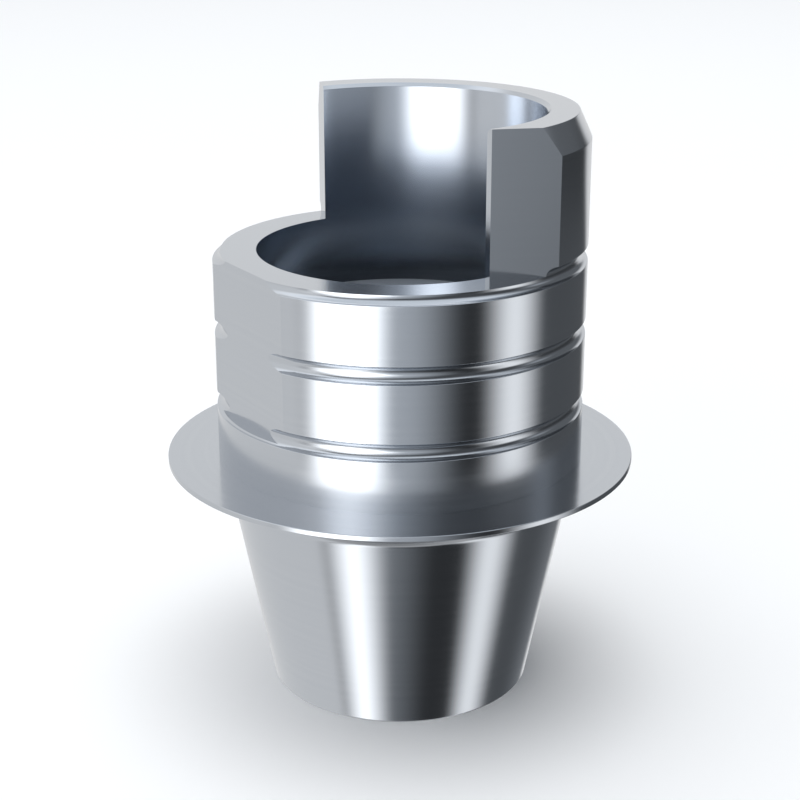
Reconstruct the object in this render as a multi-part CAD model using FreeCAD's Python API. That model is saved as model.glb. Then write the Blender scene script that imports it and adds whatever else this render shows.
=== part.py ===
"""Dental abutment: a titanium base that a crown is bonded to.

The real piece is turned from one titanium bar and then milled, so the model is one solid.
It stands on the flat end of its cone, with +Z along its axis and the origin at the centre of that end.
Lengths are in millimetres and angles in degrees.
"""
import FreeCAD, Part
import math
import os
from FreeCAD import Vector

# Cone that seats in the implant, measured from its flat lower end
cone_end_radius = 1.30
cone_half_angle = 11.0

# Thin flange over the implant's shoulder: its underside slopes down to a fillet that runs into the cone
flange_radius = 2.30
flange_top = 2.42
flange_edge = 0.048
flange_slope = 24.0
root_fillet = 0.15

# Post that carries the crown: the low rim all round, and the wall left standing above it
post_radius = 1.80
low_rim_above_flange = 2.03
wall_above_low_rim = 1.35
top_bevel_width = 0.118
top_bevel_height = 0.257

# Retention grooves round the post: the milled low rim lies just under the middle of the first one
groove_count = 3
groove_above_low_rim = 0.005
groove_pitch = 0.725
groove_width = 0.179
groove_depth = 0.077

# Inside: the bore for the screw's head, the ledge it sits on and the hole for its shank
bore_radius = 1.38
bore_mouth_chamfer = 0.035
seat_below_low_rim = 0.70
screw_hole_radius = 1.00

# Cut-out over the low rim, seen from above: the wall's end plane, its side face and the blunted corner
wall_end_x = -0.565
wall_face_y = -1.314
wall_corner_x = 0.593
wall_corner_angle = 120.0
wall_corner_share = 0.5

# Flat milled on the post, which stops the crown from turning
flat_distance = 1.675
flat_direction = -157.0
flat_below_lowest_groove = 0.071

# How far the milling cuts reach past the metal
clear = 1.0

low_rim = flange_top + low_rim_above_flange
top = low_rim + wall_above_low_rim
seat = low_rim - seat_below_low_rim
reach = flange_radius + clear


def profile_point(radius, height):
    """Point of the turned outline, in the XZ plane."""
    return Vector(radius, 0, height)


def turned_blank():
    """Everything that is turned: the half section, revolved once round the axis.

    The outline runs up the outside from the flat end, over the top and down the bore.
    """
    end_inner = profile_point(screw_hole_radius, 0)
    end_outer = profile_point(cone_end_radius, 0)
    edge_low = profile_point(flange_radius, flange_top - flange_edge)
    edge_high = profile_point(flange_radius, flange_top)

    # The cone's side and the flange's underside would meet in a corner, which the fillet's arc replaces
    lean = math.radians(cone_half_angle)
    slope = math.radians(flange_slope)
    overhang = flange_radius - cone_end_radius
    corner_height = (edge_low.z - overhang * math.tan(slope)) / (1 - math.tan(lean) * math.tan(slope))
    corner = profile_point(cone_end_radius + corner_height * math.tan(lean), corner_height)
    up_the_cone = profile_point(math.sin(lean), math.cos(lean))
    out_the_underside = profile_point(math.cos(slope), math.sin(slope))
    half_turn = (math.radians(90) - lean - slope) / 2
    fillet_low = corner - up_the_cone * root_fillet * math.tan(half_turn)
    fillet_high = corner + out_the_underside * root_fillet * math.tan(half_turn)
    to_centre = (out_the_underside - up_the_cone).normalize()
    fillet_middle = corner + to_centre * root_fillet * (1 / math.cos(half_turn) - 1)

    post_foot = profile_point(post_radius, flange_top)
    bevel_foot = profile_point(post_radius, top - top_bevel_height)
    bevel_head = profile_point(post_radius - top_bevel_width, top)
    mouth_outer = profile_point(bore_radius + bore_mouth_chamfer, top)
    mouth_inner = profile_point(bore_radius, top - bore_mouth_chamfer)
    seat_outer = profile_point(bore_radius, seat)
    seat_inner = profile_point(screw_hole_radius, seat)

    edges = [
        Part.makeLine(end_inner, end_outer),
        Part.makeLine(end_outer, fillet_low),
        Part.Arc(fillet_low, fillet_middle, fillet_high).toShape(),
        Part.makeLine(fillet_high, edge_low),
        Part.makeLine(edge_low, edge_high),
        Part.makeLine(edge_high, post_foot),
        Part.makeLine(post_foot, bevel_foot),
        Part.makeLine(bevel_foot, bevel_head),
        Part.makeLine(bevel_head, mouth_outer),
        Part.makeLine(mouth_outer, mouth_inner),
        Part.makeLine(mouth_inner, seat_outer),
        Part.makeLine(seat_outer, seat_inner),
        Part.makeLine(seat_inner, end_inner),
    ]
    section = Part.Face(Part.Wire(edges))
    return section.revolve(Vector(0, 0, 0), Vector(0, 0, 1), 360)


def groove_heights():
    """Middle height of each groove, from the top one downwards."""
    first = low_rim + groove_above_low_rim
    return [first - number * groove_pitch for number in range(groove_count)]


def groove_cutter(height):
    """Ring of round section whose inner side bites groove_depth into the post.

    The section's radius is that of the arc with the groove's width as chord and its depth as height.
    """
    half_width = groove_width / 2
    section_radius = (half_width ** 2 + groove_depth ** 2) / (2 * groove_depth)
    ring_radius = post_radius - groove_depth + section_radius
    return Part.makeTorus(ring_radius, section_radius, Vector(0, 0, height), Vector(0, 0, 1))


def cut_out():
    """Block of metal milled away over the low rim, leaving the wall standing at the back and right.

    Its plan follows the wall's end plane into the open bore, crosses the bore to the blunted corner
    and runs out along the wall's side face.
    """
    corner = Vector(wall_corner_x, wall_face_y, low_rim)
    turn = math.radians(wall_corner_angle)
    into_bore = bore_radius - abs(wall_corner_x)
    inner = corner + Vector(math.cos(turn), math.sin(turn), 0) * into_bore * wall_corner_share
    plan = [
        Vector(wall_end_x, reach, low_rim),
        Vector(wall_end_x, 0, low_rim),
        inner,
        corner,
        Vector(reach, wall_face_y, low_rim),
        Vector(reach, -reach, low_rim),
        Vector(-reach, -reach, low_rim),
        Vector(-reach, reach, low_rim),
    ]
    outline = Part.makePolygon(plan + plan[:1])
    return Part.Face(outline).extrude(Vector(0, 0, wall_above_low_rim + clear))


def flat_cutter():
    """Block that mills the flat, from just under the middle of the lowest groove up past the low rim."""
    floor = groove_heights()[-1] - flat_below_lowest_groove
    height = low_rim - floor + clear
    block = Part.makeBox(reach, 2 * reach, height, Vector(flat_distance, -reach, floor))
    block.rotate(Vector(0, 0, 0), Vector(0, 0, 1), flat_direction)
    return block


def abutment():
    """The finished piece: the turned blank with its grooves, cut-out and flat."""
    cutters = [groove_cutter(height) for height in groove_heights()]
    cutters.append(cut_out())
    cutters.append(flat_cutter())
    return turned_blank().cut(cutters).Solids[0]


os.makedirs("parts", exist_ok=True)
piece = abutment()
piece.exportStep("parts/abutment_base.step")
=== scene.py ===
import math

import bpy
import numpy as np
from mathutils import Matrix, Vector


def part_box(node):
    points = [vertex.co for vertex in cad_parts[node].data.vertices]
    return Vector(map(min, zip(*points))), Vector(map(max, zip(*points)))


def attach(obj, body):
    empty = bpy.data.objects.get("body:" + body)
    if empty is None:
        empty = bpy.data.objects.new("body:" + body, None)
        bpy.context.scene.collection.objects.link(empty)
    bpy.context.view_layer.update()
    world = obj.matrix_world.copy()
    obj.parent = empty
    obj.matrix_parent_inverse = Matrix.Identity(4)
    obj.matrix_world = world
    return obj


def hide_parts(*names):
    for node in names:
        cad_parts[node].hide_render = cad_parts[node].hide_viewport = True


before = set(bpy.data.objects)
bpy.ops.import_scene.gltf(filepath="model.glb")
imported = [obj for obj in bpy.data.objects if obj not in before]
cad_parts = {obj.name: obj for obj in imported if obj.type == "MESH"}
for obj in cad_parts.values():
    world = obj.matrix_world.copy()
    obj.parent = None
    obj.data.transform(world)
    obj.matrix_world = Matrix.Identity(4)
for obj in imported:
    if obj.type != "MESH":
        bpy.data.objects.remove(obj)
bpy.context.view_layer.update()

# The abutment base is one bar of titanium alloy, turned all over and then milled in two passes.
# The turned blank: a half section whose corners are broken by small arcs, carried once round the axis.
# Lengths are in millimetres until the piece is finished, and heights run up from the flat end of the cone.
mm = 0.001
lowest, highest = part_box("abutment_base")

cone_end_radius = 1.30
cone_half_angle = math.radians(11.0)
flange_radius = highest.x / mm
flange_top = 2.42
flange_edge = 0.048
flange_slope = math.radians(24.0)
root_fillet = 0.15
post_radius = 1.80
low_rim_above_flange = 2.03
top = highest.z / mm
top_bevel_width = 0.118
top_bevel_height = 0.257
bore_radius = 1.38
bore_mouth_chamfer = 0.035
seat_below_low_rim = 0.70
screw_hole_radius = 1.00

groove_count = 3
groove_pitch = 0.725
groove_above_low_rim = 0.005
groove_depth = 0.077
groove_hollow = 0.0845
groove_lip = 0.006
hollow_steps = 20
lip_steps = 8

hole_edge_break = 0.02
cone_end_break = 0.03
flange_edge_break = 0.008
bevel_foot_break = 0.02
bevel_head_break = 0.012
mouth_edge_break = 0.006
seat_corner_break = 0.004
root_fillet_steps = 24
small_break_steps = 3

low_rim = flange_top + low_rim_above_flange
first_groove = low_rim + groove_above_low_rim
seat = low_rim - seat_below_low_rim


def arc(centre, radius, first_angle, last_angle, steps):
    """Points of an arc: centre plus radius times (cosine, sine) of evenly spaced angles."""
    angle = np.linspace(first_angle, last_angle, steps + 1)[:, None]
    return np.array(centre) + radius * np.hstack([np.cos(angle), np.sin(angle)])


def broken_corner(before, corner, after, radius, steps=9):
    """Arc that touches both sides of a corner.

    Its centre lies on the corner's bisector, radius / sin(half the corner's angle) away, and its
    points swing from one touching point to the other by spherical interpolation.
    """
    before, corner, after = np.array(before), np.array(corner), np.array(after)
    back = (before - corner) / np.linalg.norm(before - corner)
    ahead = (after - corner) / np.linalg.norm(after - corner)
    half = math.acos(np.clip(back @ ahead, -1, 1)) / 2
    bisector = (back + ahead) / np.linalg.norm(back + ahead)
    centre = corner + bisector * radius / math.sin(half)
    reach = radius / math.tan(half)
    first = corner + back * reach - centre
    last = corner + ahead * reach - centre
    swing = math.pi - 2 * half
    share = np.linspace(0, 1, steps + 1)[:, None]
    return centre + (np.sin((1 - share) * swing) * first + np.sin(share * swing) * last) / math.sin(swing)


def groove(height):
    """Half section of one retention groove, from its lower lip up to its upper lip.

    A hollow arc of groove_hollow sits groove_depth deep, and a round lip of groove_lip leads into it
    from each side. The lips' centres lie where the arcs touch: reach squared is
    2 * (hollow + lip) * depth - depth squared.
    """
    both = groove_hollow + groove_lip
    reach = math.sqrt(2 * both * groove_depth - groove_depth ** 2)
    turn = math.acos((both - groove_depth) / both)
    lip_centre = post_radius - groove_lip
    hollow_centre = post_radius - groove_depth + groove_hollow
    lower = arc((lip_centre, height - reach), groove_lip, 0, turn, lip_steps)
    hollow = arc((hollow_centre, height), -groove_hollow, turn, -turn, hollow_steps)
    upper = arc((lip_centre, height + reach), groove_lip, -turn, 0, lip_steps)
    return np.vstack([lower, hollow[1:-1], upper])


def flange_root():
    """Corner in which the cone's side and the flange's underside would meet, as (radius, height).

    The side is radius = end radius + height * tan(lean). The underside falls by tan(slope) from the
    rim's lower edge, and the height where both agree is solved for.
    """
    lean, slope = math.tan(cone_half_angle), math.tan(flange_slope)
    edge_height = flange_top - flange_edge
    height = (edge_height - (flange_radius - cone_end_radius) * slope) / (1 - lean * slope)
    return cone_end_radius + height * lean, height


def half_section():
    """Closed (radius, height) outline of the blank, up the outside and down the inside."""
    end_inner = (screw_hole_radius, 0)
    end_outer = (cone_end_radius, 0)
    root = flange_root()
    edge_low = (flange_radius, flange_top - flange_edge)
    edge_high = (flange_radius, flange_top)
    post_foot = (post_radius, flange_top)
    bevel_foot = (post_radius, top - top_bevel_height)
    bevel_head = (post_radius - top_bevel_width, top)
    mouth_outer = (bore_radius + bore_mouth_chamfer, top)
    mouth_inner = (bore_radius, top - bore_mouth_chamfer)
    seat_outer = (bore_radius, seat)
    seat_inner = (screw_hole_radius, seat)
    grooves = [groove(first_groove - groove_pitch * number) for number in reversed(range(groove_count))]
    return np.vstack([
        broken_corner(seat_inner, end_inner, end_outer, hole_edge_break),
        broken_corner(end_inner, end_outer, root, cone_end_break),
        broken_corner(end_outer, root, edge_low, root_fillet, root_fillet_steps),
        broken_corner(root, edge_low, edge_high, flange_edge_break),
        broken_corner(edge_low, edge_high, post_foot, flange_edge_break),
        post_foot,
        *grooves,
        broken_corner(post_foot, bevel_foot, bevel_head, bevel_foot_break),
        broken_corner(bevel_foot, bevel_head, mouth_outer, bevel_head_break),
        broken_corner(bevel_head, mouth_outer, mouth_inner, mouth_edge_break, small_break_steps),
        broken_corner(mouth_outer, mouth_inner, seat_outer, mouth_edge_break, small_break_steps),
        broken_corner(mouth_inner, seat_outer, seat_inner, seat_corner_break, small_break_steps),
        broken_corner(seat_outer, seat_inner, end_inner, hole_edge_break),
    ])


def turned(outline, segments=360):
    """Mesh of a closed outline carried round the axis.

    Point (i, j) is (r_j cos t_i, r_j sin t_i, z_j), and both indices wrap round, so the skin is closed.
    """
    angle = np.linspace(0, 2 * math.pi, segments, endpoint=False)[:, None]
    radius, height = outline[None, :, 0], outline[None, :, 1]
    points = np.stack([radius * np.cos(angle), radius * np.sin(angle), height + 0 * angle], axis=-1)
    count = len(outline)
    row, column = np.meshgrid(np.arange(segments), np.arange(count), indexing="ij")
    next_row, next_column = (row + 1) % segments, (column + 1) % count
    quads = np.stack([
        row * count + column, next_row * count + column,
        next_row * count + next_column, row * count + next_column,
    ], axis=-1)
    mesh = bpy.data.meshes.new("turned_blank")
    mesh.from_pydata(points.reshape(-1, 3), [], quads.reshape(-1, 4).tolist())
    piece = bpy.data.objects.new("turned_blank", mesh)
    bpy.context.scene.collection.objects.link(piece)
    return piece


blank = turned(half_section())

# Milling: the cut-out leaves the tall wall at the back and right, with a blunted inner corner.
# A flat on the left keeps the crown from turning. Both are blocks taken away from the turned blank.
clear = 1.0
wall_end_x = -0.565
wall_face_y = -1.314
wall_corner_x = 0.593
wall_corner_angle = math.radians(120.0)
wall_corner_share = 0.5
flat_distance = 1.675
flat_direction = math.radians(-157.0)
flat_below_lowest_groove = 0.071
flat_floor = first_groove - (groove_count - 1) * groove_pitch - flat_below_lowest_groove


def prism(name, plan, floor, roof):
    """Block with the given plan, a list of (x, y) points anticlockwise, from floor to roof."""
    count = len(plan)
    plan = np.array(plan)
    points = np.vstack([np.column_stack([plan, np.full(count, z)]) for z in (floor, roof)])
    sides = [[i, (i + 1) % count, count + (i + 1) % count, count + i] for i in range(count)]
    faces = [list(range(count))[::-1], list(range(count, 2 * count)), *sides]
    mesh = bpy.data.meshes.new(name)
    mesh.from_pydata(points, [], faces)
    block = bpy.data.objects.new(name, mesh)
    bpy.context.scene.collection.objects.link(block)
    return block


def cut_out_plan():
    """Along the wall's end plane into the bore, over to the blunted corner, out along the side face."""
    reach = flange_radius + clear
    corner = np.array([wall_corner_x, wall_face_y])
    turn = np.array([math.cos(wall_corner_angle), math.sin(wall_corner_angle)])
    inner = corner + turn * (bore_radius - wall_corner_x) * wall_corner_share
    return [
        (wall_end_x, 0), (wall_end_x, reach), (-reach, reach), (-reach, -reach),
        (reach, -reach), (reach, wall_face_y), tuple(corner), tuple(inner),
    ]


def flat_plan():
    """Rectangle beyond flat_distance, turned to flat_direction."""
    reach = flange_radius + clear
    across = np.array([-math.sin(flat_direction), math.cos(flat_direction)])
    out = np.array([math.cos(flat_direction), math.sin(flat_direction)])
    return [
        tuple(out * distance + across * side)
        for distance, side in (
            (flat_distance, -reach), (flat_distance + reach, -reach),
            (flat_distance + reach, reach), (flat_distance, reach),
        )
    ]


def milled(piece, block):
    """Takes the block away from the piece and removes the block."""
    cut = piece.modifiers.new("cut", "BOOLEAN")
    cut.operation = "DIFFERENCE"
    cut.solver = "EXACT"
    cut.object = block
    depsgraph = bpy.context.evaluated_depsgraph_get()
    finished = bpy.data.meshes.new_from_object(piece.evaluated_get(depsgraph))
    piece.modifiers.clear()
    piece.data = finished
    bpy.data.objects.remove(block)
    return piece


milled(blank, prism("cut_out", cut_out_plan(), low_rim, top + clear))
milled(blank, prism("flat", flat_plan(), flat_floor, low_rim + clear))

blank.data.transform(Matrix.Scale(mm, 4))

# Broad faces shade true and only the small arcs between them bend; every milled edge stays crisp.
crisp_angle = math.radians(13.0)


def even_normals(mesh, angle):
    """Corner normals that broad faces decide.

    Each is the sum of area times normal over the faces round the corner's vertex whose normal is
    within the angle of the corner's own face: n = sum(a_k n_k), where n_k . n_own > cos(angle).
    """
    normal = np.empty(len(mesh.polygons) * 3)
    mesh.polygons.foreach_get("normal", normal)
    normal = normal.reshape(-1, 3)
    area = np.empty(len(mesh.polygons))
    mesh.polygons.foreach_get("area", area)
    corners = np.empty(len(mesh.polygons), int)
    mesh.polygons.foreach_get("loop_total", corners)
    vertex = np.empty(len(mesh.loops), int)
    mesh.loops.foreach_get("vertex_index", vertex)
    order = np.argsort(vertex, kind="stable")
    vertex = vertex[order]
    own = normal[np.repeat(np.arange(len(area)), corners)[order]]
    weighted = own * area[np.repeat(np.arange(len(area)), corners)[order], None]
    total = weighted.copy()
    for step in range(1, np.bincount(vertex).max()):
        alike = (own[step:] * own[:-step]).sum(axis=1) > math.cos(angle)
        pair = np.flatnonzero(alike & (vertex[step:] == vertex[:-step]))
        total[pair + step] += weighted[pair]
        total[pair] += weighted[pair + step]
    even = np.empty_like(total)
    even[order] = total / np.linalg.norm(total, axis=1, keepdims=True)
    mesh.polygons.foreach_set("use_smooth", np.ones(len(mesh.polygons), bool))
    mesh.normals_split_custom_set(even)


even_normals(blank.data, crisp_angle)
blank.name = "titanium_base"

# Titanium alloy, satin bright. Fine turning marks run round every wall, and the milled faces are plain.
# The bore's wall, cut with a long boring tool, turns rougher with depth, and painted shade darkens it. Near
# the seat painted light brightens it again, down to painted shade in the corner at its foot; the seat
# itself is cut rough.
wall_tolerance = 0.003
face_tolerance = 0.001

mark_scale = 16.0
mark_detail = 3.0
mark_roughness = 0.65
mark_depth = 1.6e-7

mark_tint = (0.550, 0.578, 0.618, 1)
bright_tint = (0.580, 0.606, 0.642, 1)
bore_top_tint = (0.55, 0.585, 0.635, 1)
# The deep tint is painted shade down the bore, the foot tint is painted light near the seat, and the corner
# share is painted shade in the corner at the seat.
painted_shade_tint = (0.34, 0.39, 0.47, 1)
painted_light_tint = (0.56, 0.62, 0.70, 1)
bore_top = low_rim + 1.1
bore_deep = low_rim + 0.1
bore_foot_head = seat + 0.80
bore_foot = seat + 0.45
corner_shade_high = seat + 0.35
corner_shade_low = seat + 0.05
painted_corner_shade_level = 0.15

satin = 0.13
mark_wear = 0.04
bore_wear = 0.03
bore_deep_wear = 0.07
seat_wear = 0.6
post_foot_wear = 0.09
post_foot_low = flange_top + 0.25
post_foot_high = flange_top + 0.55


def added_node(tree, kind, **settings):
    """New node in the tree, with the given settings."""
    made = tree.nodes.new(kind)
    for setting, value in settings.items():
        setattr(made, setting, value)
    return made


def feed(tree, value, socket):
    """Links the value to the socket when it is a socket too, and otherwise sets it there."""
    if isinstance(value, bpy.types.NodeSocket):
        tree.links.new(value, socket)
    else:
        socket.default_value = value


def maths(tree, operation, *values):
    """Operation on up to three numbers or sockets."""
    made = added_node(tree, "ShaderNodeMath", operation=operation)
    for socket, value in zip(made.inputs, values):
        feed(tree, value, socket)
    return made.outputs[0]


def eased(tree, value, low, high, low_result, high_result):
    """Smooth change from low_result to high_result as the value goes from low to high."""
    made = added_node(tree, "ShaderNodeMapRange", interpolation_type="SMOOTHSTEP")
    feed(tree, value, made.inputs["Value"])
    feed(tree, low, made.inputs["From Min"])
    feed(tree, high, made.inputs["From Max"])
    feed(tree, low_result, made.inputs["To Min"])
    feed(tree, high_result, made.inputs["To Max"])
    return made.outputs["Result"]


def mixed(tree, share, first, second):
    """Colour that goes from the first to the second as the share goes from 0 to 1."""
    made = added_node(tree, "ShaderNodeMix", data_type="RGBA")
    feed(tree, share, made.inputs["Factor"])
    feed(tree, first, made.inputs["A"])
    feed(tree, second, made.inputs["B"])
    return made.outputs["Result"]


def scaled(tree, colour, level):
    """Colour times a level."""
    made = added_node(tree, "ShaderNodeVectorMath", operation="SCALE")
    feed(tree, colour, made.inputs[0])
    feed(tree, level, made.inputs["Scale"])
    return made.outputs[0]


titanium = bpy.data.materials.new("satin_titanium")
titanium.use_nodes = True
metal = titanium.node_tree
shader = metal.nodes["Principled BSDF"]

# Place on the piece, as a radius from the axis and a height, both in millimetres
axes = added_node(metal, "ShaderNodeSeparateXYZ")
metal.links.new(added_node(metal, "ShaderNodeTexCoord").outputs["Object"], axes.inputs[0])
square_x = maths(metal, "POWER", axes.outputs["X"], 2.0)
square_y = maths(metal, "POWER", axes.outputs["Y"], 2.0)
radius = maths(metal, "DIVIDE", maths(metal, "SQRT", maths(metal, "ADD", square_x, square_y)), mm)
height = maths(metal, "DIVIDE", axes.outputs["Z"], mm)
at_bore_radius = maths(metal, "COMPARE", radius, bore_radius, wall_tolerance)
above_seat = maths(metal, "GREATER_THAN", height, seat - face_tolerance)
on_bore_wall = maths(metal, "MULTIPLY", at_bore_radius, above_seat)
at_seat_height = maths(metal, "COMPARE", height, seat, wall_tolerance)
within_bore = maths(metal, "LESS_THAN", radius, bore_radius - wall_tolerance)
on_seat = maths(metal, "MULTIPLY", at_seat_height, within_bore)
above_flange = maths(metal, "GREATER_THAN", height, flange_top + face_tolerance)
depth = eased(metal, height, bore_deep, bore_top, 1.0, 0.0)

# Marks: noise along a line, read by height on every wall and by radius on the flange's upper face
noise = added_node(metal, "ShaderNodeTexNoise", noise_dimensions="1D")
line = maths(metal, "ADD", maths(metal, "MAXIMUM", radius, post_radius), height)
metal.links.new(line, noise.inputs["W"])
noise.inputs["Scale"].default_value = mark_scale
noise.inputs["Detail"].default_value = mark_detail
noise.inputs["Roughness"].default_value = mark_roughness
marks = noise.outputs["Fac"]

# Painted shade darkens the bore's wall with depth, painted light brightens it near the seat, and painted
# shade darkens the corner at its foot.
painted_bore_tint = mixed(metal, depth, bore_top_tint, painted_shade_tint)
painted_light_share = eased(metal, height, bore_foot, bore_foot_head, 1.0, 0.0)
painted_bore_tint = mixed(metal, painted_light_share, painted_bore_tint, painted_light_tint)
painted_corner_shade_factor = eased(metal, height, corner_shade_low, corner_shade_high, painted_corner_shade_level, 1.0)
painted_bore_tint = scaled(metal, painted_bore_tint, painted_corner_shade_factor)
outer_tint = mixed(metal, marks, mark_tint, bright_tint)
metal.links.new(mixed(metal, on_bore_wall, outer_tint, painted_bore_tint), shader.inputs["Base Color"])

wear = maths(metal, "MULTIPLY_ADD", marks, mark_wear, satin)
wall_wear = maths(metal, "MULTIPLY_ADD", depth, bore_deep_wear, bore_wear)
wear = maths(metal, "MULTIPLY_ADD", on_bore_wall, wall_wear, wear)
foot_wear = eased(metal, height, post_foot_low, post_foot_high, post_foot_wear, 0.0)
wear = maths(metal, "ADD", wear, maths(metal, "MULTIPLY", above_flange, foot_wear))
wear = maths(metal, "MULTIPLY_ADD", on_seat, seat_wear, wear)
metal.links.new(wear, shader.inputs["Roughness"])

bump = added_node(metal, "ShaderNodeBump")
bump.inputs["Strength"].default_value = 1.0
bump.inputs["Distance"].default_value = mark_depth
metal.links.new(marks, bump.inputs["Height"])
metal.links.new(bump.outputs["Normal"], shader.inputs["Normal"])
shader.inputs["Metallic"].default_value = 1.0

blank.data.materials.clear()
blank.data.materials.append(titanium)
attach(blank, "root")
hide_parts("abutment_base")

# Floor: a broad sheet of pale matt paper that the abutment stands on and casts its shadow on.
# It is left out of reflections, because the strips of light run down the cone to its very end.
half_floor = 0.6
paper_colour = (0.93, 0.93, 0.93, 1)
paper_roughness = 1.0


def laid_sheet(name, outline, paper):
    """Sheet of paper with the given outline, a list of (x, y) points, at the height of the cone's end."""
    mesh = bpy.data.meshes.new(name)
    mesh.from_pydata([(x, y, 0) for x, y in outline], [], [list(range(len(outline)))])
    sheet = bpy.data.objects.new(name, mesh)
    bpy.context.scene.collection.objects.link(sheet)
    sheet.location.z = lowest.z
    sheet.data.materials.append(paper)
    return sheet


pale_paper = bpy.data.materials.new("pale_paper")
pale_paper.use_nodes = True
paper_shader = pale_paper.node_tree.nodes["Principled BSDF"]
paper_shader.inputs["Base Color"].default_value = paper_colour
paper_shader.inputs["Roughness"].default_value = paper_roughness

floor_corners = [
    (-half_floor, -half_floor), (half_floor, -half_floor),
    (half_floor, half_floor), (-half_floor, half_floor),
]
floor = laid_sheet("floor", floor_corners, pale_paper)
floor.visible_glossy = False

# Disc of the same paper under the screw hole, which takes the floor's place in the bore's reflections.
# Its faint glow is painted light, so a little light comes up through the hole. The camera sees the floor
# there.
disc_radius = (screw_hole_radius + cone_end_radius) / 2 * mm
disc_corners = 48
glow_colour = (0.82, 0.91, 1.0, 1)
glow_strength = 1.2

glowing_paper = pale_paper.copy()
glowing_paper.name = "glowing_paper"
glowing_shader = glowing_paper.node_tree.nodes["Principled BSDF"]
glowing_shader.inputs["Emission Color"].default_value = glow_colour
glowing_shader.inputs["Emission Strength"].default_value = glow_strength

disc_angles = np.linspace(0, 2 * math.pi, disc_corners, endpoint=False)
disc_outline = [(disc_radius * math.cos(angle), disc_radius * math.sin(angle)) for angle in disc_angles]
plug = laid_sheet("floor_in_the_hole", disc_outline, glowing_paper)
plug.visible_camera = False

# Camera: in front of the abutment and a little to its left, above the rim, looking down.
# Its place and lens are those that give the photo's view of the rims, the grooves, the flange and the cone.
camera_bearing = math.radians(-9.5)
camera_pitch = math.radians(19.38)
camera_distance = 16.032 * mm
camera_height = 8.5235 * mm
camera_lens = 77.08
film_width = 36.0
nearest_seen = 0.001
farthest_seen = 10.0

camera_data = bpy.data.cameras.new("camera")
camera_data.lens = camera_lens
camera_data.sensor_width = film_width
camera_data.clip_start = nearest_seen
camera_data.clip_end = farthest_seen
camera = bpy.data.objects.new("camera", camera_data)
bpy.context.scene.collection.objects.link(camera)
stand = camera_bearing - math.pi / 2
camera.location = (camera_distance * math.cos(stand), camera_distance * math.sin(stand), camera_height)
camera.rotation_euler = (math.pi / 2 - camera_pitch, 0, camera_bearing)
bpy.context.scene.camera = camera
bpy.context.scene.view_settings.view_transform = "Standard"

# Studio lights: upright soft boxes all round the abutment, made as bands of light in the world.
# Each has a bearing, in degrees anticlockwise from the camera's right, and spans a range of rises,
# in degrees above the level. A feather is how many degrees an edge fades over.
white = (1.0, 1.0, 1.0)
cool = (0.89, 0.94, 1.0)
box_foot = -64.0
box_foot_feather = 8.0

world = bpy.data.worlds.new("studio")
bpy.context.scene.world = world
world.use_nodes = True
sky = world.node_tree

turn = added_node(sky, "ShaderNodeVectorRotate", rotation_type="Z_AXIS")
sky.links.new(added_node(sky, "ShaderNodeTexCoord").outputs["Generated"], turn.inputs["Vector"])
turn.inputs["Angle"].default_value = -camera_bearing
parts = added_node(sky, "ShaderNodeSeparateXYZ")
sky.links.new(turn.outputs[0], parts.inputs[0])
bearing = maths(sky, "DEGREES", maths(sky, "ARCTAN2", parts.outputs["Y"], parts.outputs["X"]))
rise = maths(sky, "DEGREES", maths(sky, "ARCSINE", parts.outputs["Z"]))


def by_rise(low, high, low_result, high_result):
    """Smooth change from low_result to high_result between two rises."""
    return eased(sky, rise, low, high, low_result, high_result)


def between(foot, foot_feather, head, head_feather):
    """Share of a light that lies between two rises: it fades over a feather centred on each."""
    inside = by_rise(foot - foot_feather / 2, foot + foot_feather / 2, 0.0, 1.0)
    outside = by_rise(head - head_feather / 2, head + head_feather / 2, 1.0, 0.0)
    return maths(sky, "MULTIPLY", inside, outside)


def up_to(head, feather):
    """Share of a light that stands from the boxes' common foot up to a head."""
    return between(box_foot, box_foot_feather, head, feather)


def varied(base, share, change):
    """Base plus the share times the change."""
    return maths(sky, "MULTIPLY_ADD", share, change, base)


def soft_box(colour, centre, half_width, feather, strength, heights):
    """Upright soft box: colour times strength times heights, faded at both sides.

    It is full as far as its edge, less half the feather, and gone half a feather past its edge, where
    the edge is half_width away from the bearing of its centre.
    """
    turned_away = maths(sky, "WRAP", maths(sky, "SUBTRACT", bearing, centre), 180.0, -180.0)
    away = maths(sky, "ABSOLUTE", turned_away)
    past = maths(sky, "DIVIDE", maths(sky, "SUBTRACT", away, half_width), feather)
    glow = maths(sky, "MULTIPLY", eased(sky, past, -0.5, 0.5, 1.0, 0.0), strength)
    return scaled(sky, colour, maths(sky, "MULTIPLY", glow, heights))


# The boxes change a little with the rise: towards their ends, and where the tall wall mirrors them
box_middle = -8.0
from_middle = maths(sky, "ABSOLUTE", maths(sky, "SUBTRACT", rise, box_middle))
near_end = eased(sky, from_middle, 12.0, 34.0, 0.0, 1.0)
seen_in_wall = between(-13.0, 4.0, 6.0, 8.0)
upper_part = maths(sky, "MULTIPLY", by_rise(-16.0, -11.0, 0.0, 1.0), by_rise(4.0, 14.0, 1.0, 0.35))

back_box = soft_box(
    colour=white,
    centre=varied(by_rise(6.0, 22.0, 137.0, 140.0), seen_in_wall, -5.0),
    half_width=varied(by_rise(6.0, 22.0, 71.0, 74.0), seen_in_wall, 5.0),
    feather=12.0,
    strength=0.76,
    heights=up_to(57.0, 18.0),
)

# The main box, in front on the left, has rounded ends: towards them it narrows, softens and dims
main_box = soft_box(
    colour=white,
    centre=varied(by_rise(-50.0, -20.0, -127.0, -124.6), upper_part, 4.1),
    half_width=varied(varied(20.8, upper_part, 2.2), near_end, -7.0),
    feather=varied(24.0, near_end, 14.0),
    strength=varied(2.5, near_end, -0.4),
    heights=up_to(37.0, 16.0),
)

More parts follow.
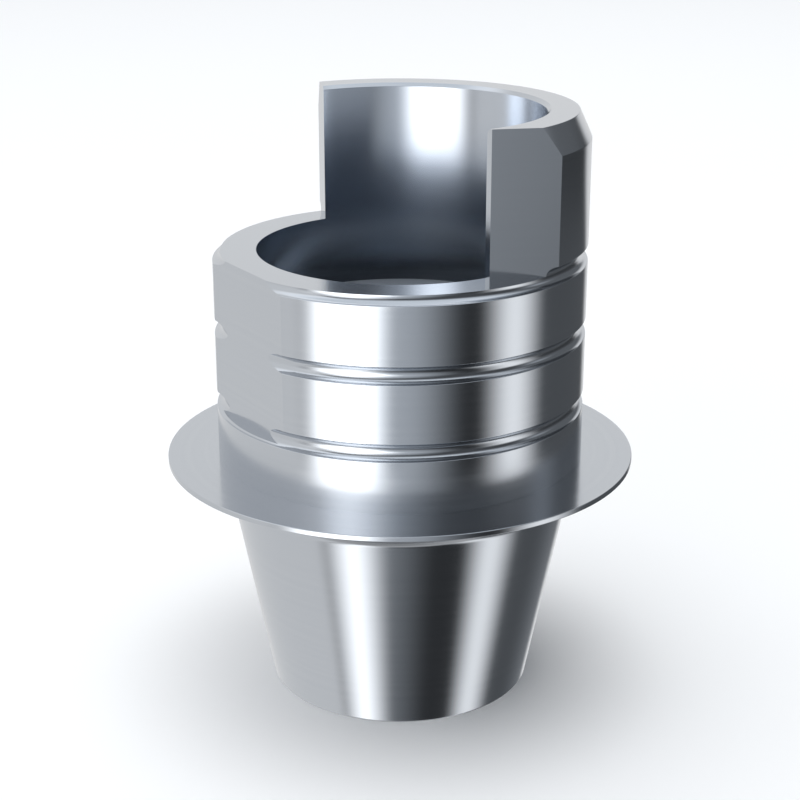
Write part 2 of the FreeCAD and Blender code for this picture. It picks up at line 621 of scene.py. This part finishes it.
front_heights = maths(sky, "MULTIPLY", by_rise(-52.0, -28.0, 0.31, 1.0), up_to(30.0, 12.0))
front_box = soft_box(
    colour=cool,
    centre=-95.0,
    half_width=varied(27.0, near_end, -13.0),
    feather=42.0,
    strength=0.55,
    heights=maths(sky, "MULTIPLY", front_heights, varied(1.0, seen_in_wall, 0.17)),
)

right_box = soft_box(
    colour=white,
    centre=-16.8,
    half_width=13.4,
    feather=26.0,
    strength=1.22,
    heights=up_to(14.0, 16.0),
)

# Faint boxes behind on the right: one low down for the cone, one for the post, one for the top bevel
cone_box = soft_box(
    colour=cool,
    centre=60.0,
    half_width=12.0,
    feather=52.0,
    strength=0.15,
    heights=up_to(-26.0, 10.0),
)
post_box = soft_box(
    colour=cool,
    centre=30.0,
    half_width=34.0,
    feather=16.0,
    strength=0.07,
    heights=maths(sky, "MULTIPLY", varied(1.0, seen_in_wall, -0.75), up_to(95.0, 8.0)),
)
bevel_box = soft_box(
    colour=cool,
    centre=10.0,
    half_width=8.0,
    feather=24.0,
    strength=0.34,
    heights=between(19.0, 8.0, 32.0, 8.0),
)

# Glow of the room all round, of the ceiling, and of the floor below the boxes
room_glow = scaled(sky, cool, by_rise(-8.0, 18.0, 0.041, 0.095))
ceiling_glow = scaled(sky, cool, by_rise(40.0, 62.0, 0.0, 0.9))
below_boxes = by_rise(box_foot - box_foot_feather / 2, box_foot + box_foot_feather / 2, 1.0, 0.0)
floor_glow = scaled(sky, white, maths(sky, "MULTIPLY", below_boxes, by_rise(-95.0, -62.0, 0.2, 0.52)))

light = back_box
for other in (
    main_box, front_box, cone_box, right_box, post_box, bevel_box, room_glow, ceiling_glow, floor_glow,
):
    both = added_node(sky, "ShaderNodeVectorMath", operation="ADD")
    sky.links.new(light, both.inputs[0])
    sky.links.new(other, both.inputs[1])
    light = both.outputs[0]
sky.links.new(light, sky.nodes["Background"].inputs["Color"])

# Overhead lamp: a broad disc of soft light above the abutment, which lights the floor round its shadow.
# It is left out of reflections, like the floor.
lamp_size = 0.12
lamp_power = 0.07
lamp_height = 0.12

lamp_data = bpy.data.lights.new("overhead", "AREA")
lamp_data.shape = "DISK"
lamp_data.size = lamp_size
lamp_data.energy = lamp_power
lamp = bpy.data.objects.new("overhead", lamp_data)
bpy.context.scene.collection.objects.link(lamp)
lamp.location = (0.0, 0.0, lamp_height)
lamp.visible_glossy = False
